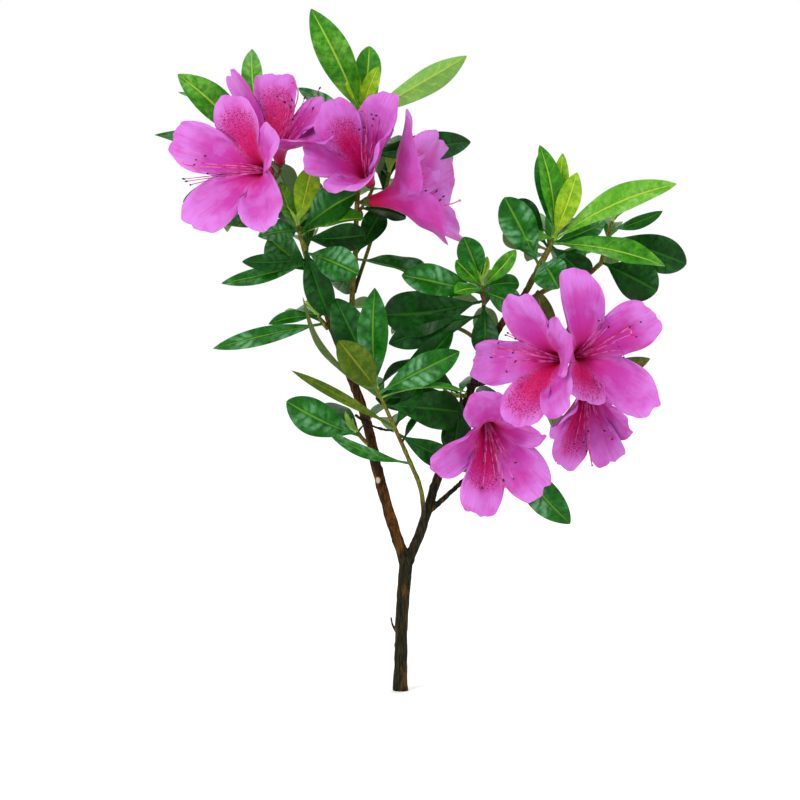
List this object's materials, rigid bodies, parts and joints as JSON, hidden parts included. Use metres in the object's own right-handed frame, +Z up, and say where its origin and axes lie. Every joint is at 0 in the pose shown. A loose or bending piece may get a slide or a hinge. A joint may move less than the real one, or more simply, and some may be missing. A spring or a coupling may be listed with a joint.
{
  "type": "azalea shrub",
  "caption": "Young flowering azalea shrub: one slender stem that forks into boughs, whorls of leaves and large open funnel-shaped pink blooms, cut flat at ground level.",
  "frame": {"origin": "middle of the trunk's flat cut at ground level", "axes": "+Z straight up from the ground, +X to the right of the shrub's best side, -Y out of that side towards the viewer"},
  "size_m": [0.2955, 0.1894, 0.3768],
  "materials": {
    "bark": "thin dark olive-brown bark, matt",
    "green_bark": "smooth green young bark, matt",
    "foliage": "leaf green, softly glossy above",
    "petal": "orchid-pink petals, satin"
  },
  "bodies": {
    "root": {"trunk": "bark", "left_bough": "bark", "middle_bough": "green_bark", "right_bough": "bark", "front_twig": "green_bark", "right_low_twig": "bark", "middle_right_twig": "green_bark", "far_right_twig": "green_bark", "left_top_twig": "green_bark", "back_left_twig": "green_bark", "back_middle_twig": "green_bark", "back_right_twig": "green_bark", "back_top_twig": "green_bark", "left_leaves": "foliage", "left_top_leaves": "foliage", "middle_leaves": "foliage", "front_leaves": "foliage", "left_low_leaves": "foliage", "left_middle_leaves": "foliage", "middle_right_leaves": "foliage", "lower_middle_leaves": "foliage", "right_leaves": "foliage", "far_right_leaves": "foliage", "truss_leaves": "foliage", "back_left_leaves": "foliage", "back_middle_leaves": "foliage", "back_right_leaves": "foliage", "back_top_leaves": "foliage", "left_front_bloom": "petal", "left_back_bloom": "petal", "middle_left_bloom": "petal", "middle_right_bloom": "petal", "truss_low_bloom": "petal", "truss_left_bloom": "petal", "truss_right_bloom": "petal", "truss_under_bloom": "petal"}
  },
  "joints": []
}
